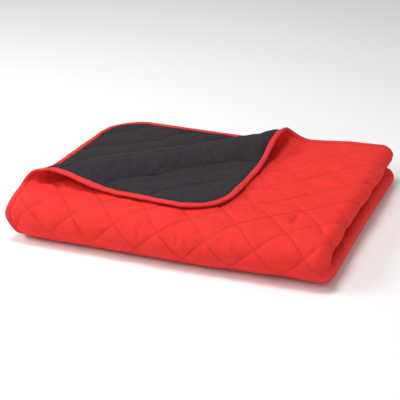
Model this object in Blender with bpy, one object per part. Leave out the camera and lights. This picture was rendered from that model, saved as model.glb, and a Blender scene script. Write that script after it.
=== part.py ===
"""A folded bed quilt: a red quilted face panel with its filling, a black back panel and a
red binding round the edge. It is folded in half along its length, in half across its
width and in half again round the front, and its top corner is turned over."""
import bmesh
import bpy
import numpy as np

# the open quilt, in metres
QUILT_WIDTH = 1.40
QUILT_LENGTH = 2.20
CORNER_RADIUS = 0.096
DIAMOND = 0.10
DIAMOND_START = 0.025
PUFF_HALF = 0.0036
STITCH_HALF = 0.0013
EDGE_HALF = 0.0016
LOFT = 0.0016
BACK_THICKNESS = 0.0010
PANEL_GAP = 0.00035
EDGE_GAP = 0.0008
BINDING_THICKNESS = 0.0010
INSET = 0.0105

# the folded pack
PITCH = 0.0144
BACK_HEIGHT = 0.81
BACK_RIGHT_HEIGHT = 1.01
RIGHT_HEIGHT = 0.90
SLOPE_START = 0.09
SLOPE_END = 0.50
LEAN = 0.098
RIGHT_END_OUT = 0.0136
LOWER_LOBE_OUT = 0.0195
LOW_RIGHT_BACK = 0.0153
LEFT_IN = 0.0098
LOW_LEFT_IN = 0.0092
MID_LEFT_OUT = 0.0107

# the turned corner: its fold runs from the left edge to the back edge
FOLD_LEFT = (-0.2706, 0.1185)
FOLD_BACK = (0.1402, 0.503)
LOOP_RADIUS = 0.0182
LOOP_RADIUS_BACK = 0.0244
LOOP_LEAN = -0.376
LOOP_REACH = 7.1
FLAP_HEIGHT = 0.0125
FLAP_SLIDE = 0.067

HALF_LENGTH = QUILT_LENGTH / 2
QUARTER_LENGTH = QUILT_LENGTH / 4
HALF_WIDTH = QUILT_WIDTH / 2
FRONT_RADIUS = 3.5 * PITCH
SIDE_RADIUS = 1.5 * PITCH
FRONT_ARC = np.pi * FRONT_RADIUS / 2
SIDE_ARC = np.pi * SIDE_RADIUS / 2
TIGHT_ARC = np.pi * PITCH / 4
DEPTH = QUARTER_LENGTH - FRONT_ARC + FRONT_RADIUS


def smooth(t):
    """Eases from 0 to 1."""
    t = np.clip(t, 0.0, 1.0)
    return t * t * (3.0 - 2.0 * t)


def round_corners(u, v):
    """Draws the square corners of the inner grid in to the quilt's rounded outline."""
    radius = CORNER_RADIUS - INSET
    across = u - HALF_WIDTH
    along = v - HALF_LENGTH
    core_u = HALF_WIDTH - CORNER_RADIUS
    core_v = HALF_LENGTH - CORNER_RADIUS
    a = np.maximum(np.abs(across) - core_u, 0.0) / radius
    b = np.maximum(np.abs(along) - core_v, 0.0) / radius
    new_a = core_u + radius * a * np.sqrt(np.maximum(1.0 - b * b / 2, 0.0))
    new_b = core_v + radius * b * np.sqrt(np.maximum(1.0 - a * a / 2, 0.0))
    across = np.where(a > 0, np.sign(across) * new_a, across)
    along = np.where(b > 0, np.sign(along) * new_b, along)
    return across + HALF_WIDTH, along + HALF_LENGTH


def outward(u, v):
    """The outline's outward direction at points of the rounded inner border."""
    core_u = np.clip(u, CORNER_RADIUS, QUILT_WIDTH - CORNER_RADIUS)
    core_v = np.clip(v, CORNER_RADIUS, QUILT_LENGTH - CORNER_RADIUS)
    step = np.stack([u - core_u, v - core_v], -1)
    return step / np.linalg.norm(step, axis=-1, keepdims=True)


def turn(distance, arc, radius):
    """One fold: the way along it, and the height, of cloth at a radius from its axis."""
    angle = np.clip((distance + arc) / (2 * arc), 0.0, 1.0) * np.pi
    along = np.where(distance < -arc, distance, -distance)
    along = np.where(np.abs(distance) < arc, radius * np.sin(angle) - arc, along)
    return along, radius * np.cos(angle)


def folded(u, v):
    """The middle surface of the even pack, with its front at y = 0."""
    along, height = turn(v - HALF_LENGTH, TIGHT_ARC, PITCH / 2)
    side, height = turn(u - HALF_WIDTH, SIDE_ARC, SIDE_RADIUS + height - PITCH / 2)
    x = side + HALF_WIDTH / 2
    radius = FRONT_RADIUS + height - SIDE_RADIUS
    front, height = turn(along + QUARTER_LENGTH, FRONT_ARC, radius)
    y = FRONT_RADIUS - FRONT_ARC - front
    return x, y, height + FRONT_RADIUS


def loop_path(steps=900, longest=30.0):
    """The side view of a soft fold of radius 1: reach and height by length of cloth."""
    length = np.linspace(0.0, longest, steps)
    past = np.pi + LOOP_LEAN
    heading = np.minimum(length, past) - LOOP_LEAN * smooth((length - past) / 4)
    step = length[1] - length[0]
    reach = np.concatenate([[0], np.cumsum(np.cos((heading[1:] + heading[:-1]) / 2))])
    rise = np.concatenate([[0], np.cumsum(np.sin((heading[1:] + heading[:-1]) / 2))])
    return length, reach * step, rise * step


LOOP = loop_path()


def layer_height(x, y, height):
    """Sinks the even pack towards its back and a little to the right."""
    least = BACK_HEIGHT + (BACK_RIGHT_HEIGHT - BACK_HEIGHT) * smooth((x - 0.028) / 0.332)
    back = 1.0 - (1.0 - least) * smooth((y - SLOPE_START) / (SLOPE_END - SLOPE_START))
    right = 1.0 - (1.0 - RIGHT_HEIGHT) * smooth((x + HALF_WIDTH / 2) / HALF_WIDTH)
    return PUFF_HALF + height * back * right


def fold_line():
    """The start, direction, crossways direction and length of the turned corner's fold."""
    start = np.array(FOLD_LEFT)
    line = np.array(FOLD_BACK) - start
    length = np.hypot(line[0], line[1])
    line = line / length
    return start, line, np.array([-line[1], line[0]]), length


def middle(u, v):
    """The quilt's middle surface as it lies, for points of the open quilt."""
    x, y, height = folded(u, v)
    start, line, across, length = fold_line()
    past = (x - start[0]) * across[0] + (y - start[1]) * across[1]
    part = ((x - start[0]) * line[0] + (y - start[1]) * line[1]) / length
    wider = np.clip(part, 0.0, 1.2) ** 4
    radius = LOOP_RADIUS + (LOOP_RADIUS_BACK - LOOP_RADIUS) * wider
    turned = (u < HALF_WIDTH - SIDE_ARC) & (v < QUARTER_LENGTH) & (past > 0)
    steps = np.maximum(past, 0.0) / radius
    reach = np.interp(steps, LOOP[0], LOOP[1]) * radius
    rise = np.interp(steps, LOOP[0], LOOP[2]) * radius
    settle = smooth((steps - np.pi - LOOP_LEAN) / LOOP_REACH)
    rise = rise * (1 - settle) + FLAP_HEIGHT * settle
    slide = FLAP_SLIDE * np.maximum(past - np.pi * radius, 0.0)
    x = np.where(turned, x + (reach - past) * across[0] + slide * line[0], x)
    y = np.where(turned, y + (reach - past) * across[1] + slide * line[1], y)
    drop = FRONT_RADIUS - np.clip(y, 0.0, FRONT_RADIUS)
    top = FRONT_RADIUS + np.sqrt(FRONT_RADIUS ** 2 - drop ** 2)
    height = np.where(turned, top, height)
    z = layer_height(x, y, height) + np.where(turned, rise, 0.0)
    lower = 1.0 - np.clip(height / (2 * FRONT_RADIUS), 0.0, 1.0)
    deep = np.clip(y / DEPTH, 0.0, 1.0)
    bulge = RIGHT_END_OUT * (0.7 + 0.3 * deep) + LOWER_LOBE_OUT * lower * deep ** 2
    bulge = bulge * smooth((x - 0.10) / 0.25)
    front = 1.0 - smooth(y / 0.20)
    left = LEFT_IN + LOW_LEFT_IN * lower
    left = left - MID_LEFT_OUT * np.exp(-((lower - 0.35) / 0.25) ** 2)
    bulge = bulge + left * front * smooth((-0.15 - x) / 0.20)
    y = y + LOW_RIGHT_BACK * lower * front * smooth(x / 0.33)
    y = y - DEPTH / 2
    return np.stack([x + LEAN * y + bulge, y, z], -1)


def frames(u, v, step=0.0002):
    """Points of the middle surface and the directions out of its red side."""
    du = middle(u + step, v) - middle(u - step, v)
    dv = middle(u, v + step) - middle(u, v - step)
    normal = np.cross(dv, du)
    return middle(u, v), normal / np.linalg.norm(normal, axis=-1, keepdims=True)


def puff(u, v):
    """0 on the stitched lines and 1 in the middle of each diamond."""
    w = v - DIAMOND_START
    return np.abs(np.cos(np.pi * (u + w) / DIAMOND) * np.cos(np.pi * (u - w) / DIAMOND))


def edge_distance(u, v):
    """How far points lie inside the quilt's rounded outline."""
    past_u = np.maximum(np.abs(u - HALF_WIDTH) - HALF_WIDTH + CORNER_RADIUS, 0.0)
    past_v = np.maximum(np.abs(v - HALF_LENGTH) - HALF_LENGTH + CORNER_RADIUS, 0.0)
    return CORNER_RADIUS - np.hypot(past_u, past_v)


def half_thickness(u, v):
    """Half the quilt's thickness: thin at the edge, on the stitches and in the tight fold."""
    inside = smooth((edge_distance(u, v) - INSET) / 0.012)
    full = puff(u, v) ** 0.7
    full = full * (1.0 - 0.6 * smooth(2.0 - np.abs(v - HALF_LENGTH) / TIGHT_ARC))
    return EDGE_HALF + (STITCH_HALF + (PUFF_HALF - STITCH_HALF) * full - EDGE_HALF) * inside


def outer_half(u, v):
    """The red side's height over the middle: lofty on top, flat where the quilt lies on it."""
    inside = smooth((edge_distance(u, v) - INSET) / 0.012)
    pressed = inside * smooth((v - 0.62) / 0.01) * smooth((1.07 - v) / 0.01)
    pressed = pressed * smooth((0.66 - u) / 0.02)
    half = half_thickness(u, v)
    free = inside * smooth((0.61 - v) / 0.05) * smooth((0.74 - u) / 0.04)
    return half + (PUFF_HALF - half) * pressed + LOFT * puff(u, v) * free


def spread(first, last, count):
    """Evenly spaced numbers, ends included."""
    return [first + (last - first) * i / (count - 1) for i in range(count)]


def grid_lines():
    """The lines of the open quilt's coarse grid, with more in its folds."""
    side = spread(HALF_WIDTH - SIDE_ARC, HALF_WIDTH + SIDE_ARC, 7)
    u_lines = [INSET, 0.034, 0.057] + spread(0.10, 0.60, 6) + side
    u_lines += [0.90, 1.07, 1.24, QUILT_WIDTH - 0.04, QUILT_WIDTH - INSET]
    front = spread(QUARTER_LENGTH - 0.075, QUARTER_LENGTH + 0.075, 9)
    inner = spread(3 * QUARTER_LENGTH - FRONT_ARC, 3 * QUARTER_LENGTH + FRONT_ARC, 7)
    tight = spread(HALF_LENGTH - TIGHT_ARC, HALF_LENGTH + TIGHT_ARC, 5)
    v_lines = [INSET, 0.030, 0.048] + spread(0.075, 0.375, 4) + front
    v_lines += spread(0.725, 1.025, 4) + tight + spread(1.20, 1.50, 4) + inner
    v_lines += spread(1.825, 2.125, 4) + [2.168, QUILT_LENGTH - INSET]
    return u_lines, v_lines


def cut(mesh, point, normal, u_most, v_least, v_most):
    """Cuts the flat mesh along a line, in one part of the quilt only."""
    faces = []
    for face in mesh.faces:
        centre = face.calc_center_median()
        if centre.x < u_most and v_least < centre.y < v_most:
            faces.append(face)
    edges = {edge for face in faces for edge in face.edges}
    verts = {vert for face in faces for vert in face.verts}
    geometry = faces + sorted(edges, key=index_of) + sorted(verts, key=index_of)
    bmesh.ops.bisect_plane(mesh, geom=geometry, dist=0.0001, plane_co=point, plane_no=normal)
    mesh.verts.index_update()
    mesh.edges.index_update()
    mesh.faces.index_update()
    mesh.faces.ensure_lookup_table()


def index_of(item):
    """The item's place in its mesh."""
    return item.index


def flat_mesh():
    """The open quilt inside its binding as a flat mesh, finer where it shows."""
    u_lines, v_lines = grid_lines()
    mesh = bmesh.new()
    rows = [[mesh.verts.new((u, v, 0.0)) for u in u_lines] for v in v_lines]
    for low, high in zip(rows, rows[1:]):
        for i in range(len(u_lines) - 1):
            mesh.faces.new((low[i], low[i + 1], high[i + 1], high[i]))
    mesh.verts.index_update()
    mesh.edges.index_update()
    mesh.faces.index_update()
    for v_least, v_most in ((0.0, QUARTER_LENGTH + 0.075), (3 * QUARTER_LENGTH + 0.079, 2.2)):
        for i in range(6):
            cut(mesh, (0.15 + 0.10 * i, 0, 0), (1, 0, 0), HALF_WIDTH, v_least, v_most)
    for first in (0.125, 1.775):
        for i in range(4):
            line = first + 0.10 * i
            cut(mesh, (0, line, 0), (0, 1, 0), HALF_WIDTH + SIDE_ARC, line - 0.09, line + 0.09)
    for turns in spread(0.0, np.pi + LOOP_LEAN, 8) + spread(np.pi + 1.2, np.pi + 5.4, 3):
        cut(mesh, *fan_line(turns), HALF_WIDTH - SIDE_ARC, 0.0, QUARTER_LENGTH - 0.05)
    return mesh


def fan_line(turns):
    """A line of the flat quilt that the turned corner's fold bends along."""
    start, line, across, length = fold_line()
    near = start + across * turns * LOOP_RADIUS
    far = start + line * length + across * turns * LOOP_RADIUS_BACK
    ends = [(p[0] + HALF_WIDTH / 2, DEPTH - p[1]) for p in (near, far)]
    run = (ends[1][0] - ends[0][0], ends[1][1] - ends[0][1])
    return (ends[0][0], ends[0][1], 0.0), (run[1], -run[0], 0.0)


def border_loop(mesh):
    """The vertices of the flat mesh's border, in order."""
    first = min((v for v in mesh.verts if v.is_boundary), key=lambda v: (v.co.y, v.co.x))
    loop = [first]
    last = None
    while True:
        here = loop[-1]
        edges = [e for e in here.link_edges if e.is_boundary and e is not last]
        edge = min(edges, key=lambda e: e.other_vert(here).co.y) if last is None else edges[0]
        last = edge
        other = edge.other_vert(here)
        if other is first:
            return loop
        loop.append(other)


def split_quads(mesh):
    """Splits each four-sided face along its lower diagonal, where the stitches run."""
    for face in [f for f in mesh.faces if len(f.verts) == 4]:
        corners = list(face.verts)
        scores = []
        for pair in ((0, 2), (1, 3)):
            ends = [corners[i].co for i in pair]
            u, v = round_corners(*np.array([(p.x, p.y) for p in ends]).T)
            high = sum(half_thickness(u, v))
            scores.append((round(float(high), 5), np.hypot(u[0] - u[1], v[0] - v[1])))
        low = 0 if scores[0] <= scores[1] else 1
        bmesh.utils.face_split(face, corners[low], corners[low + 2])
    bmesh.ops.triangulate(mesh, faces=[f for f in mesh.faces if len(f.verts) > 3])


def open_quilt():
    """The open quilt's points, triangles and border pairs, as arrays."""
    mesh = flat_mesh()
    split_quads(mesh)
    mesh.verts.index_update()
    mesh.verts.ensure_lookup_table()
    inner = [v.index for v in border_loop(mesh)]
    flat = np.array([(v.co.x, v.co.y) for v in mesh.verts])
    triangles = [[v.index for v in f.verts] for f in mesh.faces]
    mesh.free()
    u, v = round_corners(flat[:, 0], flat[:, 1])
    border = outward(u[inner], v[inner]) * INSET
    u = np.concatenate([u, u[inner] + border[:, 0]])
    v = np.concatenate([v, v[inner] + border[:, 1]])
    outer = [len(flat) + i for i in range(len(inner))]
    count = len(inner)
    for i in range(count):
        j = (i + 1) % count
        triangles.append([inner[i], outer[i], outer[j]])
        triangles.append([inner[i], outer[j], inner[j]])
    return u, v, triangles, inner, outer


def make_object(name, points, faces, material):
    """A closed mesh object with its faces turned out."""
    mesh = bpy.data.meshes.new(name)
    mesh.from_pydata([tuple(p) for p in points], [], faces)
    solid = bmesh.new()
    solid.from_mesh(mesh)
    bmesh.ops.recalc_face_normals(solid, faces=solid.faces)
    solid.to_mesh(mesh)
    solid.free()
    mesh.materials.append(material)
    made = bpy.data.objects.new(name, mesh)
    bpy.context.scene.collection.objects.link(made)
    return made


def panel(name, quilt, upper, lower, material):
    """A closed panel between two heights over the quilt's middle surface."""
    u, v, triangles, inner, outer = quilt
    centre, normal = frames(u, v)
    points = np.concatenate([centre + normal * upper[:, None], centre + normal * lower[:, None]])
    count = len(u)
    faces = [list(t) for t in triangles]
    faces += [[t[0] + count, t[2] + count, t[1] + count] for t in triangles]
    for i, here in enumerate(outer):
        there = outer[(i + 1) % len(outer)]
        faces.append([here, there + count, there])
        faces.append([here, here + count, there + count])
    return make_object(name, points, faces, material)


def binding(name, quilt, material):
    """A folded tape round the quilt's edge, a little apart from the panels."""
    u, v, triangles, inner, outer = quilt
    near, near_normal = frames(u[inner], v[inner])
    edge, edge_normal = frames(u[outer], v[outer])
    out = (edge - near) / np.linalg.norm(edge - near, axis=-1, keepdims=True)
    inside = EDGE_HALF + PANEL_GAP
    outside = inside + BINDING_THICKNESS
    wall = EDGE_GAP + BINDING_THICKNESS
    # how far in from the edge, how high over the middle, and which diagonal comes next
    profile = [(INSET, inside, 0), (-EDGE_GAP, inside, 0), (-EDGE_GAP, -inside, 1),
               (INSET, -inside, 0), (INSET, -outside, 0), (-wall, -outside, 1),
               (-wall, outside, 1), (INSET, outside, 0)]
    rings = []
    for depth, height, _ in profile:
        if depth > 0:
            rings.append(near + near_normal * height)
        else:
            rings.append(edge - out * depth + edge_normal * height)
    points = np.concatenate(rings)
    count = len(outer)
    faces = []
    for k, (_, _, diagonal) in enumerate(profile):
        low = k * count
        high = ((k + 1) % len(profile)) * count
        for i in range(count):
            j = (i + 1) % count
            corners = [low + i, low + j, high + j, high + i]
            turned = corners[diagonal:] + corners[:diagonal]
            faces.append([turned[0], turned[1], turned[2]])
            faces.append([turned[0], turned[2], turned[3]])
    return make_object(name, points, faces, material)


def cloth_material(name, colour, roughness):
    """A plain cloth colour."""
    material = bpy.data.materials.new(name)
    material.use_nodes = True
    shader = material.node_tree.nodes["Principled BSDF"]
    shader.inputs["Base Color"].default_value = (*colour, 1.0)
    shader.inputs["Roughness"].default_value = roughness
    shader.inputs["Metallic"].default_value = 0.0
    return material


def main():
    """Clears the scene and builds the quilt's three pieces."""
    for item in list(bpy.data.objects):
        bpy.data.objects.remove(item, do_unlink=True)
    red = cloth_material("red_cloth", (0.72, 0.045, 0.040), 0.85)
    black = cloth_material("black_cloth", (0.050, 0.044, 0.050), 0.90)
    tape = cloth_material("binding_tape", (0.66, 0.050, 0.060), 0.75)
    quilt = open_quilt()
    u, v = quilt[0], quilt[1]
    half = half_thickness(u, v)
    panel("face_panel", quilt, outer_half(u, v), BACK_THICKNESS + PANEL_GAP - half, red)
    panel("back_panel", quilt, BACK_THICKNESS - half, -half, black)
    binding("edge_binding", quilt, tape)


main()
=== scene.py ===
"""The folded quilt dressed for its picture: quilted red face, black back, sewn binding and
the stitching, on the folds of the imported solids, with a studio floor, light and camera."""
import math

import bmesh
import bpy
import numpy as np
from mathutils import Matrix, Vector


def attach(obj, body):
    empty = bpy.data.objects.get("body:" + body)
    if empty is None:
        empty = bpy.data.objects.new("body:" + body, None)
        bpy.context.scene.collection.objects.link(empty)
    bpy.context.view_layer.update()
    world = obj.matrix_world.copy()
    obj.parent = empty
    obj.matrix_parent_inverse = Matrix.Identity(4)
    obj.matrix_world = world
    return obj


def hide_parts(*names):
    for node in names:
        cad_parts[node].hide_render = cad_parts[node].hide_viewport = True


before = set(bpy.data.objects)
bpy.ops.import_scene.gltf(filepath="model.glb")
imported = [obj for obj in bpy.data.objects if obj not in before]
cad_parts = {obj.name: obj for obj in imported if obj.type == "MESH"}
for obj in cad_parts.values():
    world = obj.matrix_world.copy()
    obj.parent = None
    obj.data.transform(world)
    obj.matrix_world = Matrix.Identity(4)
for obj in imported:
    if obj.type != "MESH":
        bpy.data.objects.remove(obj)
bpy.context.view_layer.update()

# the open quilt, in metres, as in the solids
QUILT_WIDTH = 1.40
QUILT_LENGTH = 2.20
CORNER_RADIUS = 0.096
DIAMOND = 0.10
DIAMOND_START = 0.025
PUFF_HALF = 0.0036
EDGE_HALF = 0.0016
BACK_THICKNESS = 0.0010
PANEL_GAP = 0.00035
INSET = 0.0105

# the folded pack
PITCH = 0.0144
BACK_HEIGHT = 0.81
BACK_RIGHT_HEIGHT = 1.01
RIGHT_HEIGHT = 0.90
SLOPE_START = 0.09
SLOPE_END = 0.50
LEAN = 0.098
RIGHT_END_OUT = 0.0136
LOWER_LOBE_OUT = 0.0195
LOW_RIGHT_BACK = 0.0153
LEFT_IN = 0.0098
LOW_LEFT_IN = 0.0092
MID_LEFT_OUT = 0.0107
UPPER_RIGHT_IN = 0.0085

# the turned corner
FOLD_LEFT = (-0.2706, 0.1185)
FOLD_BACK = (0.1402, 0.503)
LOOP_RADIUS = 0.0182
LOOP_RADIUS_BACK = 0.0244
LOOP_LEAN = -0.376
LOOP_REACH = 7.1
FLAP_HEIGHT = 0.0125
FLAP_SLIDE = 0.067

HALF_LENGTH = QUILT_LENGTH / 2
QUARTER_LENGTH = QUILT_LENGTH / 4
HALF_WIDTH = QUILT_WIDTH / 2
FRONT_RADIUS = 3.5 * PITCH
SIDE_RADIUS = 1.5 * PITCH
FRONT_ARC = np.pi * FRONT_RADIUS / 2
SIDE_ARC = np.pi * SIDE_RADIUS / 2
TIGHT_ARC = np.pi * PITCH / 4
DEPTH = QUARTER_LENGTH - FRONT_ARC + FRONT_RADIUS

# the grid: large cells, and the finer step where a side shows
CELL = 0.0125
SHOWN_STEP = 0.0031
HIDDEN_STEP = 1.0

# the relief of each side: height on the stitching, puffs, ditches, gathers and grain
FACE_STITCH = 0.0022
FACE_LOFT = 0.0034
FACE_DITCH = 0.0028
FACE_PUCKER = 0.00035
FACE_GRAIN = 0.00018
FACE_LEVEL = 0.88
BACK_STITCH = 0.0012
BACK_LOFT = 0.0021
OPEN_LOFT = 0.0046
BACK_DITCH = 0.0050
BACK_PUCKER = 0.00022
BACK_GRAIN = 0.00020

# the unevenness of the whole thickness, and of the sewn lines
LAYER_WAVE = 0.0009
LAYER_RIPPLE = 0.0007
LAYER_STREAK = 0.0010
LOWER_LOBE_FILL = 0.0042
UPPER_LOBE_DROP = 0.0022
LINE_WANDER = 0.0012

# the binding and the stitches
TAPE_LIFT = 0.0003
TAPE_THICKNESS = 0.0011
TAPE_CROWN = 0.0011
TAPE_GATHER = 0.00055
TAPE_UNEVEN = 0.0014
SEAM_IN = 0.0020
SEAM_DEPTH = 0.0006
THREAD = 0.00032
STITCH_PITCH = 0.0042
STITCH_LENGTH = 0.0031
WEAVE = 0.0006


def smooth(t):
    """Eases from 0 to 1."""
    t = np.clip(t, 0.0, 1.0)
    return t * t * (3.0 - 2.0 * t)


def round_corners(u, v):
    """Draws the square corners of the inner grid in to the quilt's rounded outline."""
    radius = CORNER_RADIUS - INSET
    across = u - HALF_WIDTH
    along = v - HALF_LENGTH
    core_u = HALF_WIDTH - CORNER_RADIUS
    core_v = HALF_LENGTH - CORNER_RADIUS
    a = np.maximum(np.abs(across) - core_u, 0.0) / radius
    b = np.maximum(np.abs(along) - core_v, 0.0) / radius
    new_a = core_u + radius * a * np.sqrt(np.maximum(1.0 - b * b / 2, 0.0))
    new_b = core_v + radius * b * np.sqrt(np.maximum(1.0 - a * a / 2, 0.0))
    across = np.where(a > 0, np.sign(across) * new_a, across)
    along = np.where(b > 0, np.sign(along) * new_b, along)
    return across + HALF_WIDTH, along + HALF_LENGTH


def outward(u, v):
    """The outline's outward direction at points of the rounded inner border."""
    core_u = np.clip(u, CORNER_RADIUS, QUILT_WIDTH - CORNER_RADIUS)
    core_v = np.clip(v, CORNER_RADIUS, QUILT_LENGTH - CORNER_RADIUS)
    step = np.stack([u - core_u, v - core_v], -1)
    return step / np.linalg.norm(step, axis=-1, keepdims=True)


def turn(distance, arc, radius):
    """One fold: the way along it, and the height, of cloth at a radius from its axis."""
    angle = np.clip((distance + arc) / (2 * arc), 0.0, 1.0) * np.pi
    along = np.where(distance < -arc, distance, -distance)
    along = np.where(np.abs(distance) < arc, radius * np.sin(angle) - arc, along)
    return along, radius * np.cos(angle)


def folded(u, v):
    """The middle surface of the even pack, with its front at y = 0."""
    along, height = turn(v - HALF_LENGTH, TIGHT_ARC, PITCH / 2)
    side, height = turn(u - HALF_WIDTH, SIDE_ARC, SIDE_RADIUS + height - PITCH / 2)
    x = side + HALF_WIDTH / 2
    radius = FRONT_RADIUS + height - SIDE_RADIUS
    front, height = turn(along + QUARTER_LENGTH, FRONT_ARC, radius)
    y = FRONT_RADIUS - FRONT_ARC - front
    return x, y, height + FRONT_RADIUS


def loop_path(steps=900, longest=30.0):
    """The side view of a soft fold of radius 1: reach and height by length of cloth."""
    length = np.linspace(0.0, longest, steps)
    past = np.pi + LOOP_LEAN
    heading = np.minimum(length, past) - LOOP_LEAN * smooth((length - past) / 4)
    step = length[1] - length[0]
    reach = np.concatenate([[0], np.cumsum(np.cos((heading[1:] + heading[:-1]) / 2))])
    rise = np.concatenate([[0], np.cumsum(np.sin((heading[1:] + heading[:-1]) / 2))])
    return length, reach * step, rise * step


LOOP = loop_path()


def layer_height(x, y, height):
    """Sinks the even pack towards its back and a little to the right."""
    least = BACK_HEIGHT + (BACK_RIGHT_HEIGHT - BACK_HEIGHT) * smooth((x - 0.028) / 0.332)
    back = 1.0 - (1.0 - least) * smooth((y - SLOPE_START) / (SLOPE_END - SLOPE_START))
    right = 1.0 - (1.0 - RIGHT_HEIGHT) * smooth((x + HALF_WIDTH / 2) / HALF_WIDTH)
    return PUFF_HALF + height * back * right


def fold_line():
    """The start, direction, crossways direction and length of the turned corner's fold."""
    start = np.array(FOLD_LEFT)
    line = np.array(FOLD_BACK) - start
    length = np.hypot(line[0], line[1])
    line = line / length
    return start, line, np.array([-line[1], line[0]]), length


def past_fold(x, y):
    """How far points of the even pack lie past the turned corner's fold, and how far along."""
    start, line, across, length = fold_line()
    past = (x - start[0]) * across[0] + (y - start[1]) * across[1]
    part = ((x - start[0]) * line[0] + (y - start[1]) * line[1]) / length
    return past, part


def middle(u, v):
    """The quilt's middle surface as it lies, for points of the open quilt."""
    x, y, height = folded(u, v)
    # the turned corner rolls over its fold line and comes to rest on the layer below
    line, across = fold_line()[1:3]
    past, part = past_fold(x, y)
    wider = np.clip(part, 0.0, 1.2) ** 4
    radius = LOOP_RADIUS + (LOOP_RADIUS_BACK - LOOP_RADIUS) * wider
    turned = (u < HALF_WIDTH - SIDE_ARC) & (v < QUARTER_LENGTH) & (past > 0)
    steps = np.maximum(past, 0.0) / radius
    reach = np.interp(steps, LOOP[0], LOOP[1]) * radius
    rise = np.interp(steps, LOOP[0], LOOP[2]) * radius
    settle = smooth((steps - np.pi - LOOP_LEAN) / LOOP_REACH)
    rise = rise * (1 - settle) + FLAP_HEIGHT * settle
    slide = FLAP_SLIDE * np.maximum(past - np.pi * radius, 0.0)
    x = np.where(turned, x + (reach - past) * across[0] + slide * line[0], x)
    y = np.where(turned, y + (reach - past) * across[1] + slide * line[1], y)
    drop = FRONT_RADIUS - np.clip(y, 0.0, FRONT_RADIUS)
    top = FRONT_RADIUS + np.sqrt(FRONT_RADIUS ** 2 - drop ** 2)
    height = np.where(turned, top, height)
    z = layer_height(x, y, height) + np.where(turned, rise, 0.0)
    # the right end's two lobes
    lower = 1.0 - np.clip(height / (2 * FRONT_RADIUS), 0.0, 1.0)
    deep = np.clip(y / DEPTH, 0.0, 1.0)
    bulge = RIGHT_END_OUT * (0.7 + 0.3 * deep) + LOWER_LOBE_OUT * lower * deep ** 2
    bulge = bulge * smooth((x - 0.10) / 0.25)
    upper = smooth((height / (2 * FRONT_RADIUS) - 0.45) / 0.10) * smooth((x - 0.26) / 0.08)
    bulge = bulge - UPPER_RIGHT_IN * upper * (1.0 - smooth((y - 0.12) / 0.30))
    # the left end is drawn in at the front, and the low right corner lies further back
    front = 1.0 - smooth(y / 0.20)
    left = LEFT_IN + LOW_LEFT_IN * lower
    left = left - MID_LEFT_OUT * np.exp(-((lower - 0.35) / 0.25) ** 2)
    bulge = bulge + left * front * smooth((-0.15 - x) / 0.20)
    y = y + LOW_RIGHT_BACK * lower * front * smooth(x / 0.33)
    y = y - DEPTH / 2
    return np.stack([x + LEAN * y + bulge, y, z], -1)


def frames(u, v, step=0.0002):
    """Points of the middle surface and the directions out of its red side."""
    du = middle(u + step, v) - middle(u - step, v)
    dv = middle(u, v + step) - middle(u, v - step)
    normal = np.cross(dv, du)
    return middle(u, v), normal / np.linalg.norm(normal, axis=-1, keepdims=True)


def edge_distance(u, v):
    """How far points lie inside the quilt's rounded outline."""
    past_u = np.maximum(np.abs(u - HALF_WIDTH) - HALF_WIDTH + CORNER_RADIUS, 0.0)
    past_v = np.maximum(np.abs(v - HALF_LENGTH) - HALF_LENGTH + CORNER_RADIUS, 0.0)
    return CORNER_RADIUS - np.hypot(past_u, past_v)


def noise(a, b, size, seed):
    """Smooth seeded unevenness between -1 and 1, with lumps of about the size given."""
    table = np.random.default_rng(seed).uniform(-1.0, 1.0, (128, 128))
    a = a / size + 300.0
    b = b / size + 300.0
    i = np.floor(a).astype(int)
    j = np.floor(b).astype(int)
    s = smooth(a - i)
    t = smooth(b - j)
    low = table[i % 128, j % 128] * (1 - s) + table[(i + 1) % 128, j % 128] * s
    high = table[i % 128, (j + 1) % 128] * (1 - s) + table[(i + 1) % 128, (j + 1) % 128] * s
    return low * (1 - t) + high * t


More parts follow.
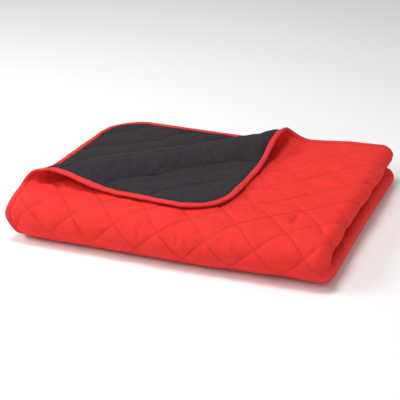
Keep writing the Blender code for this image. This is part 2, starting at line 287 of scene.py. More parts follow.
# creases, each from one place of the open quilt to another, in metres: start u, start v,
# end u, end v, height of its ridge on the red side (a trough is negative), half width
CREASES = [
    (0.386, 0.510, 0.390, 0.544, -0.00225, 0.004025),
    (0.406, 0.518, 0.410, 0.538, -0.00100, 0.003450),
    (0.472, 0.508, 0.484, 0.540, -0.00200, 0.005175),
    (0.492, 0.510, 0.500, 0.532, 0.00100, 0.004025),
    (0.302, 0.522, 0.306, 0.548, -0.00175, 0.004025),
    (0.312, 0.502, 0.302, 0.528, -0.00125, 0.003450),
    (0.450, 0.526, 0.452, 0.544, 0.00125, 0.003450),
    (0.590, 0.440, 0.592, 0.378, -0.00400, 0.005750),
    (0.566, 0.396, 0.594, 0.456, 0.00175, 0.002875),
    (0.598, 0.326, 0.614, 0.328, -0.00225, 0.004600),
    (0.554, 0.418, 0.580, 0.448, -0.00125, 0.004600),
    (0.024, 0.470, 0.054, 0.498, -0.00175, 0.003450),
    (0.030, 0.458, 0.054, 0.482, -0.00125, 0.002875),
    (0.026, 0.492, 0.040, 0.506, -0.00125, 0.002875),
    (0.070, 0.520, 0.076, 0.542, -0.00175, 0.003450),
    (0.090, 0.522, 0.100, 0.538, -0.00100, 0.003450),
    (0.160, 0.518, 0.174, 0.536, -0.00125, 0.003450),
    (0.224, 0.506, 0.228, 0.530, -0.00150, 0.003450),
    (0.264, 0.512, 0.274, 0.530, -0.00125, 0.003450),
    (0.250, 0.508, 0.260, 0.500, -0.00125, 0.002875),
    (0.068, 0.420, 0.096, 0.452, -0.00175, 0.003450),
    (0.078, 0.420, 0.100, 0.442, 0.00125, 0.003450),
    (0.532, 0.210, 0.568, 0.172, -0.00100, 0.004600),
    (0.570, 0.224, 0.626, 0.166, -0.00150, 0.005175),
    (0.596, 0.240, 0.626, 0.246, -0.00150, 0.004600),
    (0.518, 0.114, 0.552, 0.152, -0.00125, 0.004600),
    (0.568, 0.130, 0.620, 0.088, -0.00125, 0.004600),
    (0.612, 0.156, 0.660, 0.110, 0.00100, 0.004600),
    (0.448, 0.142, 0.482, 0.118, -0.00100, 0.004600),
    (0.496, 0.324, 0.544, 0.290, -0.00100, 0.004600),
    (0.512, 0.412, 0.506, 0.376, -0.00150, 0.004025),
    (0.582, 0.318, 0.562, 0.312, -0.00100, 0.004600),
    (0.502, 0.368, 0.574, 0.322, -0.00125, 0.005175),
    (0.504, 0.352, 0.582, 0.350, -0.00075, 0.005750),
    (0.668, 0.368, 0.680, 0.328, -0.00150, 0.003450),
    (0.670, 0.398, 0.684, 0.360, -0.00125, 0.003450),
    (0.676, 0.444, 0.684, 0.414, -0.00150, 0.003450),
    (0.668, 0.280, 0.676, 0.244, -0.00150, 0.003450),
    (0.680, 0.292, 0.686, 0.260, -0.00125, 0.003450),
    (0.690, 0.390, 0.670, 0.408, 0.00100, 0.003450),
    (0.676, 0.230, 0.686, 0.186, -0.00125, 0.003450),
    (0.670, 0.174, 0.686, 0.126, -0.00125, 0.003450),
    (0.676, 0.490, 0.680, 0.536, -0.00175, 0.005750),
    (0.656, 0.486, 0.664, 0.512, -0.00100, 0.004025),
    (0.630, 0.510, 0.630, 0.496, -0.00100, 0.003450),
    (0.534, 0.482, 0.548, 0.506, -0.00100, 0.003450),
    (0.072, 0.286, 0.140, 0.232, -0.00125, 0.004600),
    (0.062, 0.272, 0.114, 0.224, 0.00075, 0.004025),
    (0.098, 2.014, 0.176, 2.096, -0.00100, 0.004025),
    (0.116, 0.202, 0.172, 0.158, -0.00075, 0.004600),
    (0.082, 0.164, 0.142, 0.108, 0.00075, 0.004025),
    (0.228, 0.136, 0.296, 0.078, 0.00100, 0.004025),
    (0.066, 0.150, 0.114, 0.088, -0.00075, 0.004025),
    (0.218, 0.120, 0.248, 0.110, 0.00100, 0.003450),
    (0.150, 0.080, 0.196, 0.040, -0.00075, 0.004025),
    (0.016, 0.408, 0.030, 0.428, -0.00250, 0.003450),
    (0.014, 0.420, 0.030, 0.436, 0.00225, 0.003450),
    (0.028, 0.406, 0.062, 0.432, -0.00250, 0.004025),
    (0.012, 0.452, 0.040, 0.474, 0.00200, 0.002875),
    (0.002, 0.466, 0.016, 0.482, -0.00175, 0.002875),
    (0.014, 0.438, 0.032, 0.452, -0.00175, 0.002875),
    (0.050, 0.400, 0.088, 0.420, -0.00175, 0.004025),
    (0.068, 0.394, 0.108, 0.422, 0.00125, 0.004025),
    (0.016, 0.476, 0.036, 0.492, 0.00125, 0.002875),
    (0.170, 0.540, 0.186, 0.568, -0.00100, 0.003450),
    (0.260, 0.534, 0.276, 0.556, -0.00100, 0.003450),
    (0.644, 0.416, 0.668, 0.460, -0.00150, 0.004600),
    (0.022, 0.528, 0.010, 0.554, -0.00125, 0.002875),
    (0.136, 0.428, 0.176, 0.450, -0.00100, 0.004025),
]

# how far the sewn lines wander from the ruled pattern, in diamonds, at places of the quilt:
# u, v, wander of the lines that run down to the right, and of those that run up
WANDERS = [
    (0.10, 0.55, -0.15, 0.20), (0.07, 0.43, 0.05, 0.15), (0.15, 0.51, -0.09, 0.09),
    (0.20, 0.47, 0.01, 0.07), (0.24, 0.52, -0.13, 0.01), (0.30, 0.47, -0.09, 0.05),
    (0.34, 0.52, -0.15, -0.05), (0.30, 0.56, -0.17, 0.10), (0.40, 0.48, -0.01, -0.03),
    (0.44, 0.52, -0.13, -0.03), (0.49, 0.46, -0.22, 0.03), (0.54, 0.52, -0.12, -0.05),
    (0.59, 0.47, -0.19, -0.05), (0.64, 0.52, -0.11, -0.09), (0.59, 0.37, -0.13, -0.03),
    (0.62, 0.42, -0.25, 0.00), (0.68, 0.47, -0.29, -0.08), (0.53, 0.43, -0.23, 0.00),
    (0.60, 0.29, 0.11, 0.00), (0.64, 0.25, 0.11, 0.00), (0.66, 0.30, -0.11, 0.00),
    (0.57, 0.32, 0.07, 0.00), (0.62, 0.34, -0.13, 0.00), (0.02, 0.29, 0.33, 0.00),
    (0.05, 0.24, 0.19, 0.00), (0.09, 0.20, 0.11, 0.00), (0.15, 0.15, 0.23, 0.00),
    (0.21, 0.10, 0.29, 0.00), (0.27, 0.05, 0.38, 0.00), (0.03, 0.17, 0.25, 0.00),
    (0.10, 0.10, 0.25, 0.00), (0.15, 0.05, 0.31, 0.00), (0.08, 0.30, 0.05, 0.00),
    (0.16, 0.22, 0.11, 0.00), (0.27, 0.14, 0.31, 0.00), (0.04, 2.01, 0.00, -0.03),
    (0.10, 2.05, 0.00, 0.21), (0.14, 2.09, 0.00, 0.25),
]


def sway(u, v):
    """How far the whole thickness of cloth rises, on its red side, off the even folds."""
    top = smooth((0.70 - v) / 0.10) * smooth((0.80 - u) / 0.08)
    rise = LAYER_WAVE * noise(u, v, 0.085, 11) * top
    rise = rise + LAYER_RIPPLE * noise(u, v, 0.027, 13) * top
    level = smooth((0.46 - v) / 0.06) * smooth((0.72 - u) / 0.05)
    level = level + smooth((v - 1.65) / 0.05) * smooth((0.60 - u) / 0.05)
    rise = rise + LAYER_STREAK * noise(u * 0.16 + 0.05 * v, v, 0.012, 12) * level
    end = smooth((u - HALF_WIDTH - 0.002) / 0.012) * smooth((HALF_WIDTH + 0.030 - u) / 0.010)
    low = smooth((v - 0.57) / 0.07) * smooth((1.04 - v) / 0.08)
    rise = rise + end * (LOWER_LOBE_FILL * low - UPPER_LOBE_DROP * smooth((0.53 - v) / 0.07))
    for start_u, start_v, end_u, end_v, height, width in CREASES:
        run = np.array([end_u - start_u, end_v - start_v])
        length = np.hypot(run[0], run[1])
        run = run / length
        along = ((u - start_u) * run[0] + (v - start_v) * run[1]) / length
        aside = (u - start_u) * -run[1] + (v - start_v) * run[0]
        aside = aside + 0.15 * length * (np.clip(along, 0, 1) - 0.5) ** 2
        ends = smooth(along / 0.35) * smooth((1 - along) / 0.35)
        rise = rise + height * ends * np.exp(-(aside / width) ** 2)
    return rise


def surface(u, v, height):
    """Points at a height over the middle of the quilt, towards its red side."""
    centre, normal = frames(u, v)
    return centre + normal * (height + sway(u, v))[..., None]


def wander(u, v):
    """Where points of the ruled quilting pattern really lie: the lines wander a little."""
    free = smooth((edge_distance(u, v) - INSET) / 0.04)
    total = np.full(np.shape(u), 0.3)
    down = np.zeros(np.shape(u))
    up = np.zeros(np.shape(u))
    for at_u, at_v, to_down, to_up in WANDERS:
        weight = np.exp(-((u - at_u) ** 2 + (v - at_v) ** 2) / 0.045 ** 2)
        total = total + weight
        down = down + weight * to_down
        up = up + weight * to_up
    down = down / total * DIAMOND / 2
    up = up / total * DIAMOND / 2
    return (u + (down + up + LINE_WANDER * noise(u, v, 0.047, 21)) * free,
            v + (down - up + LINE_WANDER * noise(u, v, 0.047, 22)) * free)


def line_distance(u, v):
    """The distances to the nearest stitched line of each of the two families."""
    w = v - DIAMOND_START
    found = []
    for t in ((u + w) / DIAMOND - 0.5, (u - w) / DIAMOND - 0.5):
        found.append(np.abs(t - np.round(t)) * DIAMOND / math.sqrt(2.0))
    return found


def pillow(u, v, tight, share=(1.0, 1.0)):
    """0 on the stitched lines, rising steeply beside them to 1 in the middle. The shares
    say how deep each of the two families of lines is drawn in."""
    widest = DIAMOND / math.sqrt(8.0)
    made = 1.0
    for d, deep in zip(line_distance(u, v), share):
        crown = np.sin(np.clip(d / widest, 0.0, 1.0) * np.pi / 2)
        rise = 0.45 * (1.0 - np.exp(-d / tight)) + 0.55 * crown
        made = made * (1.0 - deep * (1.0 - rise))
    return made


def pucker(u, v, seed):
    """Little gathers that run away from the stitched lines."""
    first, second = line_distance(u, v)
    w = v - DIAMOND_START
    near = np.exp(-first / 0.007) * noise(u - w, u + w, 0.011, seed)
    return near + np.exp(-second / 0.007) * noise(u + w, u - w, 0.011, seed + 1)


def inside_edge(u, v):
    """0 under the binding, easing to 1 just inside it."""
    return smooth((edge_distance(u, v) - INSET) / 0.008)


def flattened(v):
    """1, and less in the tight fold at half the length, where the cloth is pressed thin."""
    return 1 - 0.6 * smooth(2.0 - np.abs(v - HALF_LENGTH) / TIGHT_ARC)


def face_height(u, v):
    """The red side's height over the quilt's middle: quilted on top, and level on the layers
    that lie on each other."""
    loft = FACE_LOFT * (1.0 + 0.2 * noise(u, v, 0.06, 31))
    share = (1.0, 0.5 + 0.5 * smooth((v - 0.28) / 0.14))
    full = FACE_STITCH + loft * pillow(u, v, FACE_DITCH, share)
    full = full + FACE_PUCKER * pucker(u, v, 33) + FACE_GRAIN * noise(u, v, 0.009, 35)
    pressed = smooth((v - 0.62) / 0.02) * smooth((1.07 - v) / 0.02) * smooth((0.66 - u) / 0.02)
    level = smooth((v - 0.565) / 0.05)
    full = full + (PUFF_HALF - full) * FACE_LEVEL * level
    full = full * flattened(v)
    full = full + (PUFF_HALF - full) * pressed
    return EDGE_HALF + (full - EDGE_HALF) * inside_edge(u, v)


def inner_height(u, v):
    """The height of the black back's inner side, level with the stitching."""
    full = BACK_STITCH * flattened(v)
    return BACK_THICKNESS - (EDGE_HALF + (full - EDGE_HALF) * inside_edge(u, v))


def filling_height(u, v):
    """The height of the filling's lower side, a small gap over the back."""
    return inner_height(u, v) + PANEL_GAP


def back_height(u, v):
    """The black side's height, below the middle. The lines that run away from the front are
    drawn in less here than those that run along it. The puffs are loftier where it lies open,
    apart from the crest of the turned corner's loop."""
    turned = smooth((v - 1.0) / 0.5)
    share = (1.0 - 0.7 * turned, 0.3 + 0.7 * turned)
    x, y, _ = folded(u, v)
    past, _ = past_fold(x, y)
    crest = 0.6 * np.exp(-((past - 0.035) / 0.03) ** 2)
    free = smooth(past / 0.04 + 0.5) * smooth((0.62 - u) / 0.05)
    free = free * (smooth((0.50 - v) / 0.05) * (1 - crest) + smooth((v - 1.66) / 0.05))
    loft = BACK_LOFT + (OPEN_LOFT - BACK_LOFT) * free
    full = BACK_STITCH + loft * pillow(u, v, BACK_DITCH, share)
    full = full + BACK_PUCKER * pucker(u, v, 43) + BACK_GRAIN * noise(u, v, 0.010, 45)
    return -(EDGE_HALF + (full * flattened(v) - EDGE_HALF) * inside_edge(u, v))


def lines(length, fold, arc, most):
    """Even grid lines from inset to inset, closer together in a fold."""
    even = [CELL * i for i in range(2, round(length / CELL) - 1)]
    marks = [INSET] + even + [length - INSET]
    made = []
    for low, high in zip(marks, marks[1:]):
        parts = max(1, math.ceil((high - low) / most - 0.01))
        parts = parts if low < fold + arc and high > fold - arc else 1
        made += [low + (high - low) * i / parts for i in range(parts)]
    return np.array(made + [marks[-1]])


U_LINES = lines(QUILT_WIDTH, HALF_WIDTH, SIDE_ARC, 0.0065)
V_LINES = lines(QUILT_LENGTH, HALF_LENGTH, TIGHT_ARC, 0.0032)


def finer(marks, step):
    """The grid lines with the finer lines between them, and each grid line's place."""
    made = []
    places = []
    for low, high in zip(marks, marks[1:]):
        places.append(len(made))
        parts = max(1, math.ceil((high - low) / step - 0.05))
        made += [low + (high - low) * i / parts for i in range(parts)]
    return np.array(made + [marks[-1]]), np.array(places + [len(made)])


def grid(step, shows):
    """The inner grid of the open quilt: small cells where it shows, large ones elsewhere.
    Gives the points, the faces, and the border as one list for each large cell's side."""
    us, at_u = finer(U_LINES, step)
    vs, at_v = finer(V_LINES, step)
    mid_u = (U_LINES[1:] + U_LINES[:-1]) / 2
    mid_v = (V_LINES[1:] + V_LINES[:-1]) / 2
    fine = shows(*np.meshgrid(mid_u, mid_v, indexing="ij"))
    used = np.zeros((len(us), len(vs)), bool)
    used[np.ix_(at_u, at_v)] = True
    for i, j in zip(*np.nonzero(fine)):
        used[at_u[i]:at_u[i + 1] + 1, at_v[j]:at_v[j + 1] + 1] = True
    index = np.full(used.shape, -1)
    index[used] = np.arange(used.sum())
    flat_u, flat_v = np.meshgrid(us, vs, indexing="ij")
    faces = []
    for i in range(len(mid_u)):
        a, b = at_u[i], at_u[i + 1]
        for j in range(len(mid_v)):
            c, d = at_v[j], at_v[j + 1]
            if fine[i, j]:
                cell = index[a:b + 1, c:d + 1]
                quads = np.stack([cell[:-1, :-1], cell[:-1, 1:], cell[1:, 1:], cell[1:, :-1]], -1)
                faces += quads.reshape(-1, 4).tolist()
            else:
                around = np.concatenate([index[a, c:d], index[a:b, d],
                                         index[b, d:c:-1], index[b:a:-1, c]])
                faces.append([int(k) for k in around if k >= 0])
    cells_u = list(zip(at_u, at_u[1:]))
    cells_v = list(zip(at_v, at_v[1:]))
    rows = [index[a:b + 1, 0] for a, b in cells_u]
    rows += [index[-1, c:d + 1] for c, d in cells_v]
    rows += [index[a:b + 1, -1][::-1] for a, b in reversed(cells_u)]
    rows += [index[0, c:d + 1][::-1] for c, d in reversed(cells_v)]
    border = [[int(k) for k in row if k >= 0] for row in rows]
    return flat_u[used], flat_v[used], faces, border


def half_shell(step, shows, height, first):
    """One side of a panel out to the quilt's edge: points, flat places, faces, edge rows."""
    u, v, faces, border = grid(step, shows)
    u, v = round_corners(u, v)
    rim = [k for row in border for k in row[:-1]]
    out = outward(u[rim], v[rim]) * INSET
    place = {k: len(u) + n for n, k in enumerate(rim)}
    ruled_u = np.concatenate([u, u[rim] + out[:, 0]])
    ruled_v = np.concatenate([v, v[rim] + out[:, 1]])
    for row in border:
        for a, b in zip(row, row[1:]):
            faces.append([a, b, place[b], place[a]])
    real_u, real_v = wander(ruled_u, ruled_v)
    points = surface(real_u, real_v, height(ruled_u, ruled_v))
    faces = [[k + first for k in face] for face in faces]
    rows = [[place[k] + first for k in row] for row in border]
    return points, np.stack([ruled_u, ruled_v], -1), faces, rows


def make_piece(name, points, faces, material, flat=None):
    """A closed smooth mesh with its faces turned out and its flat places as its UV map."""
    mesh = bpy.data.meshes.new(name)
    mesh.from_pydata(points.tolist(), [], faces)
    solid = bmesh.new()
    solid.from_mesh(mesh)
    bmesh.ops.recalc_face_normals(solid, faces=solid.faces)
    solid.to_mesh(mesh)
    solid.free()
    mesh.polygons.foreach_set("use_smooth", np.ones(len(mesh.polygons), bool))
    if flat is not None:
        layer = mesh.uv_layers.new(name="flat")
        corner = np.zeros(len(mesh.loops), int)
        mesh.loops.foreach_get("vertex_index", corner)
        layer.data.foreach_set("uv", flat[corner].astype(np.float32).ravel())
    mesh.materials.append(material)
    made = bpy.data.objects.new(name, mesh)
    bpy.context.scene.collection.objects.link(made)
    return made


def panel(name, upper, lower, material):
    """A closed panel of cloth between two sides, each with its own fineness."""
    points, flat, faces, rows = half_shell(*upper, 0)
    more, more_flat, more_faces, more_rows = half_shell(*lower, len(points))
    faces += [face[::-1] for face in more_faces]
    for high, low in zip(rows, more_rows):
        faces.append(high + low[::-1])
    flat = np.concatenate([flat, more_flat])
    return make_piece(name, np.concatenate([points, more]), faces, material, flat)


def red_shows(u, v):
    """Where the red side can be seen."""
    x, y, _ = folded(u, v)
    past, _ = past_fold(x, y)
    top = (v < 0.68) & (u < 0.79)
    ends = (u > 0.62) & (u < 0.79) & (v < 1.11)
    upper = (u < HALF_WIDTH - SIDE_ARC) & (v < QUARTER_LENGTH)
    turned = upper & (past > 0.13) & (edge_distance(u, v) > 0.03)
    covered = upper & (past < -0.02) & (x > -0.15) & (x < 0.06) & (y > 0.12)
    return (top | ends) & ~turned & ~covered


def black_shows(u, v):
    """Where the black side can be seen."""
    x, y, _ = folded(u, v)
    past, _ = past_fold(x, y)
    flap = (past > -0.03) & (u < 0.62) & (v < 0.52)
    below = (v > 1.70) & (u < 0.52) & (past > -0.05)
    return flap | below


def nowhere(u, v):
    """Where the inner sides can be seen: nowhere."""
    return np.zeros(u.shape, bool)


def outline(step):
    """Points round the quilt's outline, with their outward directions and way round."""
    us, vs, ways = [], [], []
    core_u = HALF_WIDTH - CORNER_RADIUS
    core_v = HALF_LENGTH - CORNER_RADIUS
    bend = CORNER_RADIUS * np.pi / 2
    corners = [(core_u, -core_v, -90), (core_u, core_v, 0), (-core_u, core_v, 90),
               (-core_u, -core_v, 180)]
    way = 0.0
    for k, (cu, cv, angle) in enumerate(corners):
        count = round(bend / step)
        for i in range(count):
            a = math.radians(angle + 90 * i / count)
            us.append((cu, math.cos(a)))
            vs.append((cv, math.sin(a)))
            ways.append(way + bend * i / count)
        way += bend
        a = math.radians(angle + 90)
        nu, nv = corners[(k + 1) % 4][:2]
        run = math.hypot(nu - cu, nv - cv)
        count = round(run / step)
        for i in range(count):
            us.append((cu + (nu - cu) * i / count, math.cos(a)))
            vs.append((cv + (nv - cv) * i / count, math.sin(a)))
            ways.append(way + run * i / count)
        way += run
    us, vs = np.array(us), np.array(vs)
    out = np.stack([us[:, 1], vs[:, 1]], -1)
    u = us[:, 0] + CORNER_RADIUS * out[:, 0] + HALF_WIDTH
    v = vs[:, 0] + CORNER_RADIUS * out[:, 1] + HALF_LENGTH
    return u, v, out, np.array(ways)


def pressed_end(u, v):
    """1 where the binding runs down the front of the left end, and lies flatter, else 0."""
    return smooth((0.06 - u) / 0.03) * smooth((v - 0.32) / 0.10) * smooth((0.95 - v) / 0.10)


def tape_height(depth, way, flatter):
    """The binding's outer height over the quilt's middle, by depth in from the edge."""
    part = np.clip(depth / INSET, 0.0, 1.0)
    crown = TAPE_CROWN * (1.0 + 0.5 * noise(way, way * 0, 0.021, 61)) * (1 - 0.8 * flatter)
    full = EDGE_HALF + TAPE_LIFT + TAPE_THICKNESS * (1 - 0.5 * flatter)
    full = full + crown * np.sin(np.pi * part ** 0.8)
    gather = TAPE_GATHER * noise(way + 0.002 * part, way * 0, 0.0065, 62) * np.sin(np.pi * part)
    sewn = SEAM_DEPTH * np.exp(-((depth - INSET + SEAM_IN) / 0.0008) ** 2)
    return full + gather - sewn


def tape_section():
    """The binding's section: depth in from the edge and a share of the outer height,
    going out along the red side, round the edge and back, then back along the inside."""
    section = []
    depths = [INSET, INSET - 0.0004, INSET - 0.0012, INSET - SEAM_IN, INSET - 0.0028,
              INSET - 0.0037, 0.0054, 0.0040, 0.0027, 0.0013, 0.0]
    for side in (1, -1):
        row = [(d, side, 1.0 if d < INSET else 0.75) for d in depths]
        section += row if side > 0 else row[::-1]
        if side > 0:
            for k in range(1, 6):
                a = np.pi * k / 6
                section.append((-0.0019 * np.sin(a), np.cos(a), 1.0))
    return section


def binding(name, material):
    """The folded tape round the edge, a soft rounded section with little gathers."""
    u, v, out, way = outline(0.004)
    count = len(u)
    rings, flat = [], []
    uneven = TAPE_UNEVEN * noise(way, way * 0, 0.035, 63)
    flatter = pressed_end(u, v)
    for depth, side, share in tape_section():
        deep = np.full(count, depth) + (uneven if depth > 0.004 else 0.0)
        height = tape_height(np.maximum(deep, 0.0), way, flatter) * side * share
        rings.append(surface(u - out[:, 0] * deep, v - out[:, 1] * deep, height))
        flat.append(np.stack([way, np.full(count, INSET - depth)], -1))
    inside = EDGE_HALF + TAPE_LIFT * 0.6
    for depth, side in ((INSET, -1), (0.005, -1), (-0.0006, -1), (-0.0006, 1), (0.005, 1),
                        (INSET, 1)):
        deep = np.full(count, depth) + (uneven if depth > 0.004 else 0.0)
        rings.append(surface(u - out[:, 0] * deep, v - out[:, 1] * deep,
                             np.full(count, inside * side)))
        flat.append(np.stack([way, np.full(count, INSET - depth)], -1))
    faces = []
    for k in range(len(rings)):
        low = k * count
        high = ((k + 1) % len(rings)) * count
        for i in range(count):
            j = (i + 1) % count
            faces.append([low + i, low + j, high + j, high + i])
    return make_piece(name, np.concatenate(rings), faces, material, np.concatenate(flat))


def stitches(name, starts, ends, height, side, material):
    """Short stitches of thread from start to end, each a little closed four-sided tube.
    Starts and ends are ruled places of the open quilt."""
    places = [starts + (ends - starts) * part for part in (0.0, 0.22, 0.78, 1.0)]
    lifts = [-0.0002, THREAD * 0.8, THREAD * 0.8, -0.0002]
    sizes = [0.35, 1.0, 1.0, 0.35]
    centres, ups = [], []
    for place, lift in zip(places, lifts):
        u, v = wander(place[:, 0], place[:, 1])
        level = height(place[:, 0], place[:, 1]) + side * lift
        centres.append(surface(u, v, level))
        ups.append(frames(u, v)[1] * side)
    along = centres[-1] - centres[0]
    along /= np.linalg.norm(along, axis=-1, keepdims=True)
    rings = []
    for centre, up, size in zip(centres, ups, sizes):
        across = np.cross(along, up)
        across /= np.linalg.norm(across, axis=-1, keepdims=True)
        for a, b in ((1, 0), (0, 1), (-1, 0), (0, -1)):
            rings.append(centre + (across * a + up * b) * THREAD * size)
    count = len(starts)
    points = np.stack(rings, 1).reshape(-1, 3)
    shape = [[3, 2, 1, 0], [12, 13, 14, 15]]
    for ring in range(3):
        for k in range(4):
            m = (k + 1) % 4
            shape.append([ring * 4 + k, ring * 4 + m, ring * 4 + 4 + m, ring * 4 + 4 + k])
    faces = (np.array(shape)[None] + 16 * np.arange(count)[:, None, None]).reshape(-1, 4)
    return make_piece(name, points, faces.tolist(), material)


def quilting_runs(shows):
    """The starts and ends of the stitches along both families of lines, where they show."""
    starts, ends = [], []
    reach = QUILT_WIDTH + QUILT_LENGTH
    for sign in (1, -1):
        for n in range(-25, 40):
            level = DIAMOND * (n + 0.5)
            way = np.arange(0.0, reach, STITCH_PITCH / math.sqrt(2.0))
            long = STITCH_LENGTH / math.sqrt(2.0)
            u0, u1 = way, way + long
            v0 = DIAMOND_START + sign * (level - u0)
            v1 = DIAMOND_START + sign * (level - u1)
            good = (edge_distance(u0, v0) > INSET + 0.001) & shows(u0, v0)
            good &= edge_distance(u1, v1) > INSET + 0.001
            starts.append(np.stack([u0, v0], -1)[good])
            ends.append(np.stack([u1, v1], -1)[good])
    return np.concatenate(starts), np.concatenate(ends)


def binding_runs():
    """The starts and ends of the stitches along the binding's inner edge."""
    u, v, out, way = outline(STITCH_PITCH)
    depth = INSET - SEAM_IN
    along = np.stack([-out[:, 1], out[:, 0]], -1)
    start = np.stack([u, v], -1) - out * depth
    return start, start + along * STITCH_LENGTH


def sewn_height(side):
    """The height at which the binding's stitches lie, on one side of the quilt."""
    def height(u, v):
        flatter = pressed_end(u, v)
        level = EDGE_HALF + TAPE_LIFT + TAPE_THICKNESS * (1 - 0.5 * flatter)
        return (level + TAPE_CROWN * 0.25 * (1 - 0.8 * flatter) - 0.0005) * side
    return height


def node(tree, kind, place, **values):
    """A shader node with its settings and the values of its inputs."""
    made = tree.nodes.new(kind)
    made.location = place
    for key, value in values.items():
        if key in made.inputs:
            made.inputs[key].default_value = value
        else:
            setattr(made, key, value)
    return made


def maths(tree, operation, place, *values):
    """A maths node's result, from numbers and other nodes' outputs."""
    made = node(tree, "ShaderNodeMath", place, operation=operation)
    for entry, value in zip(made.inputs, values):
        if isinstance(value, float):
            entry.default_value = value
        else:
            tree.links.new(value, entry)
    return made.outputs[0]


def ranged(tree, place, value, ends, kind="LINEAR"):
    """A node's output taken from one range to another: from two numbers to two others."""
    made = node(tree, "ShaderNodeMapRange", place, interpolation_type=kind)
    for name, number in zip(("From Min", "From Max", "To Min", "To Max"), ends):
        made.inputs[name].default_value = number
    tree.links.new(value, made.inputs["Value"])
    return made.outputs[0]


def shaded(colour, factor, more=0.0):
    """A colour made lighter or darker, with its alpha."""
    return (*[min(1.0, c * factor + more) for c in colour], 1.0)


def mixed(tree, place, first, second, factor):
    """A mix of two colours by another node's output."""
    made = node(tree, "ShaderNodeMix", place, data_type="RGBA")
    made.inputs["A"].default_value = first
    made.inputs["B"].default_value = second
    tree.links.new(factor, made.inputs["Factor"])
    return made


def start_material(name, values):
    """A new material, its node tree, and its shader with the values of its inputs."""
    material = bpy.data.materials.new(name)
    material.use_nodes = True
    tree = material.node_tree
    shader = tree.nodes["Principled BSDF"]
    for key, value in values.items():
        shader.inputs[key].default_value = value
    return material, tree, shader


def sewn_line(tree, where, sign, place, half, shade_fades):
    """Nodes that give 1 along one family of stitched lines, fading out to a half width: where the
    painted shade of the lines' ditches goes. They fade along the quilt too, each fade from one v
    with a value to another v with a value."""
    x, y = place
    parts = node(tree, "ShaderNodeSeparateXYZ", place)
    tree.links.new(where, parts.inputs[0])
    # the whole number only keeps the count of diamonds above nought
    start = -sign * DIAMOND_START / DIAMOND - 0.5 + 100.0
    ruled = maths(tree, "MULTIPLY_ADD", (x + 200, y), parts.outputs["Y"], sign / DIAMOND, start)
    both = maths(tree, "MULTIPLY_ADD", (x + 400, y), parts.outputs["X"], 1.0 / DIAMOND, ruled)
    near = maths(tree, "PINGPONG", (x + 600, y), both, 0.5)
    line = ranged(tree, (x + 800, y), near, (0.0, half * math.sqrt(2.0) / DIAMOND, 1.0, 0.0),
                  "SMOOTHERSTEP")
    for fade in shade_fades:
        along = ranged(tree, (x + 600, y - 250), parts.outputs["Y"], fade, "SMOOTHSTEP")
        line = maths(tree, "MULTIPLY", (x + 1000, y), line, along)
    return line


def cloth(name, colour, painted_line_shade, rough, sheen, bump, mottle, uneven_tone, line_shade_strength, half, shade_fades):
    """Woven cloth: a plain weave at the thread's size, a brushed nap, a slight crumple, soft
    mottling, and painted shade in the stitched lines' ditches, stronger in some places than in
    others."""
    material, tree, shader = start_material(name, {
        "Roughness": rough, "Metallic": 0.0, "Specular IOR Level": 0.18, "Sheen Weight": sheen,
        "Sheen Roughness": 0.45, "Sheen Tint": shaded(colour, 1.3, 0.05)})
    where = node(tree, "ShaderNodeUVMap", (-2300, 0), uv_map="flat").outputs[0]
    warp = node(tree, "ShaderNodeTexWave", (-1100, -300), wave_type="BANDS",
                bands_direction="X", Scale=math.pi / (WEAVE * 20), Distortion=0.6)
    weft = node(tree, "ShaderNodeTexWave", (-1100, -600), wave_type="BANDS",
                bands_direction="Y", Scale=math.pi / (WEAVE * 20), Distortion=0.6)
    nap = node(tree, "ShaderNodeTexNoise", (-1100, 0), Scale=1500.0, Detail=3.0,
               Roughness=0.6)
    patches = node(tree, "ShaderNodeTexNoise", (-1100, 300), Scale=mottle, Detail=4.0,
                   Roughness=0.55)
    uneven = node(tree, "ShaderNodeTexNoise", (-1100, 900), Scale=17.0, Detail=2.0)
    crumple = node(tree, "ShaderNodeTexNoise", (-1100, -900), Scale=75.0, Detail=3.0,
                   Roughness=0.55, Distortion=0.4)
    for texture in (warp, weft, nap, patches, uneven, crumple):
        tree.links.new(where, texture.inputs["Vector"])
    weave = maths(tree, "ADD", (-850, -450), warp.outputs["Color"], weft.outputs["Color"])
    grain = maths(tree, "MULTIPLY_ADD", (-650, -300), weave, 0.35, nap.outputs["Fac"])
    creased = node(tree, "ShaderNodeBump", (-650, -700), Strength=0.6, Distance=0.0040)
    tree.links.new(crumple.outputs["Fac"], creased.inputs["Height"])
    rise = node(tree, "ShaderNodeBump", (-350, -300), Strength=bump, Distance=0.0006)
    tree.links.new(grain, rise.inputs["Height"])
    tree.links.new(creased.outputs[0], rise.inputs["Normal"])
    tree.links.new(rise.outputs[0], shader.inputs["Normal"])
    tones = mixed(tree, (-650, 300), shaded(colour, 1 - uneven_tone),
                  shaded(colour, 1 + uneven_tone), patches.outputs["Fac"])
    # masks for the painted shade in the ditches of each family of stitched lines
    down = sewn_line(tree, where, 1, (-2300, 1200), half, shade_fades[0])
    up = sewn_line(tree, where, -1, (-2300, 600), half, shade_fades[1])
    either = maths(tree, "MAXIMUM", (-1000, 700), down, up)
    # how dark the painted shade of the lines is, wandering at random from place to place
    shade_strength = ranged(tree, (-850, 900), uneven.outputs["Fac"],
                      (0.35, 0.65, line_shade_strength * 0.22, line_shade_strength))
    low = maths(tree, "MULTIPLY", (-650, 700), either, shade_strength)
    # the cloth's tones darkened towards the line colour along the stitched lines: painted shade
    final = mixed(tree, (-350, 300), shaded(colour, 1.0), shaded(painted_line_shade, 1.0), low)
    tree.links.new(tones.outputs["Result"], final.inputs["A"])
    tree.links.new(final.outputs["Result"], shader.inputs["Base Color"])
    return material


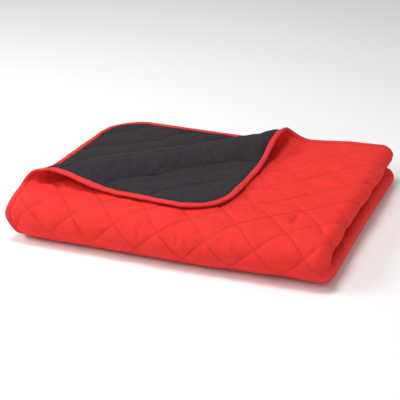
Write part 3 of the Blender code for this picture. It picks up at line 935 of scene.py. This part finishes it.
def tape_cloth(name, colour):
    """The binding's ribbed tape: fine ribs across it, soft sheen and uneven tone."""
    material, tree, shader = start_material(name, {
        "Roughness": 0.66, "Specular IOR Level": 0.25, "Sheen Weight": 0.05,
        "Sheen Roughness": 0.4})
    where = node(tree, "ShaderNodeUVMap", (-1300, 0), uv_map="flat").outputs[0]
    ribs = node(tree, "ShaderNodeTexWave", (-1000, -200), wave_type="BANDS",
                bands_direction="X", Scale=230.0, Distortion=1.5, Detail=2.0)
    fuzz = node(tree, "ShaderNodeTexNoise", (-1000, 200), Scale=90.0, Detail=5.0,
                Roughness=0.6)
    for texture in (ribs, fuzz):
        tree.links.new(where, texture.inputs["Vector"])
    height = maths(tree, "ADD", (-700, -200), ribs.outputs["Fac"], fuzz.outputs["Fac"])
    rise = node(tree, "ShaderNodeBump", (-400, -200), Strength=0.35, Distance=0.0005)
    tree.links.new(height, rise.inputs["Height"])
    tree.links.new(rise.outputs[0], shader.inputs["Normal"])
    tones = mixed(tree, (-500, 200), shaded(colour, 0.84), shaded(colour, 1.12),
                  fuzz.outputs["Fac"])
    tree.links.new(tones.outputs["Result"], shader.inputs["Base Color"])
    return material


def thread_material(name, colour):
    """Twisted sewing thread with a slight lustre."""
    material, tree, shader = start_material(name, {"Roughness": 0.5})
    where = node(tree, "ShaderNodeTexCoord", (-1000, 0))
    twist = node(tree, "ShaderNodeTexNoise", (-700, 0), Scale=400.0, Detail=2.0)
    tree.links.new(where.outputs["Object"], twist.inputs["Vector"])
    tones = mixed(tree, (-400, 0), shaded(colour, 0.7), shaded(colour, 1.2),
                  twist.outputs["Fac"])
    tree.links.new(tones.outputs["Result"], shader.inputs["Base Color"])
    return material


def set_camera():
    """The camera at the photo's angle."""
    data = bpy.data.cameras.new("camera")
    data.sensor_width = 36.0
    data.lens = 81.0
    data.clip_start = 0.05
    data.clip_end = 50.0
    camera = bpy.data.objects.new("camera", data)
    bpy.context.scene.collection.objects.link(camera)
    rise, swing, distance = 0.510, 0.304, 2.011
    target = Vector((-0.0046, -0.0476, 0.05))
    back = Vector((math.sin(swing) * math.cos(rise), -math.cos(swing) * math.cos(rise),
                   math.sin(rise)))
    camera.location = target + back * distance
    camera.rotation_mode = "QUATERNION"
    camera.rotation_quaternion = (-back).to_track_quat("-Z", "Y")
    bpy.context.scene.camera = camera


def area_light(name, place, size, power):
    """A soft white square lamp that faces the quilt."""
    data = bpy.data.lights.new(name, "AREA")
    data.size = size
    data.energy = power
    lamp = bpy.data.objects.new(name, data)
    lamp.location = place
    lamp.rotation_mode = "QUATERNION"
    aim = Vector((0, 0, 0.05)) - Vector(place)
    lamp.rotation_quaternion = aim.to_track_quat("-Z", "Y")
    bpy.context.scene.collection.objects.link(lamp)


def set_studio():
    """A pale floor, a bright even surround and soft lamps above, at the left, in front and low
    at the right."""
    mesh = bpy.data.meshes.new("floor")
    mesh.from_pydata([(-12, -12, 0), (12, -12, 0), (12, 12, 0), (-12, 12, 0)], [], [[0, 1, 2, 3]])
    material, tree, shader = start_material(
        "floor", {"Roughness": 0.9, "Specular IOR Level": 0.1})
    grain = node(tree, "ShaderNodeTexNoise", (-600, 0), Scale=3.0, Detail=2.0)
    tones = mixed(tree, (-300, 0), (0.90, 0.90, 0.90, 1.0), (0.93, 0.93, 0.93, 1.0),
                  grain.outputs["Fac"])
    tree.links.new(tones.outputs["Result"], shader.inputs["Base Color"])
    mesh.materials.append(material)
    floor = bpy.data.objects.new("floor", mesh)
    bpy.context.scene.collection.objects.link(floor)
    world = bpy.data.worlds.new("surround")
    world.use_nodes = True
    world.node_tree.nodes["Background"].inputs["Color"].default_value = (1.0, 1.0, 1.0, 1.0)
    world.node_tree.nodes["Background"].inputs["Strength"].default_value = 0.36
    bpy.context.scene.world = world
    area_light("top", (-0.35, -0.3, 2.55), 0.8, 36.0)
    area_light("left", (-1.9, -0.9, 1.5), 1.1, 31.5)
    area_light("front", (-0.7, -1.9, 2.0), 1.0, 7.0)
    area_light("right", (2.3, -0.6, 0.45), 0.9, 6.0)


def build():
    """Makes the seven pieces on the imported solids' folds."""
    # each cloth's line colour and its strength are painted shade in the stitched lines' ditches;
    # the fades weaken it in places along the quilt
    red = cloth("red_cloth", colour=(0.78, 0.034, 0.028), painted_line_shade=(0.45, 0.014, 0.012),
                rough=0.80, sheen=0.05, bump=0.35, mottle=28.0, uneven_tone=0.14,
                line_shade_strength=0.66, half=0.0030,
                shade_fades=[[(0.10, 0.26, 0.35, 1.0), (0.57, 0.66, 1.0, 0.3)],
                       [(0.28, 0.42, 0.2, 1.0), (0.57, 0.66, 1.0, 0.3)]])
    black = cloth("black_cloth", colour=(0.029, 0.0235, 0.0285), painted_line_shade=(0.008, 0.006, 0.008),
                  rough=0.85, sheen=0.34, bump=0.70, mottle=90.0, uneven_tone=0.45,
                  line_shade_strength=0.95, half=0.0038,
                  shade_fades=[[(0.9, 1.1, 1.0, 0.15)], [(0.9, 1.1, 0.1, 1.0)]])
    tape = tape_cloth("binding_tape", (0.70, 0.034, 0.036))
    red_thread = thread_material("red_thread", (0.60, 0.035, 0.032))
    dark_thread = thread_material("dark_thread", (0.035, 0.030, 0.034))
    face = panel("quilted_face", (SHOWN_STEP, red_shows, face_height),
                 (HIDDEN_STEP, nowhere, filling_height), red)
    back = panel("black_back", (HIDDEN_STEP, nowhere, inner_height),
                 (SHOWN_STEP, black_shows, back_height), black)
    edge = binding("sewn_binding", tape)
    face_thread = stitches("face_stitches", *quilting_runs(red_shows), face_height, 1, red_thread)
    back_thread = stitches("back_stitches", *quilting_runs(black_shows), back_height, -1,
                           dark_thread)
    upper = stitches("binding_stitches_face", *binding_runs(), sewn_height(1), 1, red_thread)
    lower = stitches("binding_stitches_back", *binding_runs(), sewn_height(-1), -1, red_thread)
    for piece in (face, back, edge, face_thread, back_thread, upper, lower):
        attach(piece, "root")
    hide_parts("face_panel")
    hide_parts("back_panel")
    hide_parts("edge_binding")


set_camera()
build()
set_studio()
bpy.context.scene.view_settings.view_transform = "Standard"
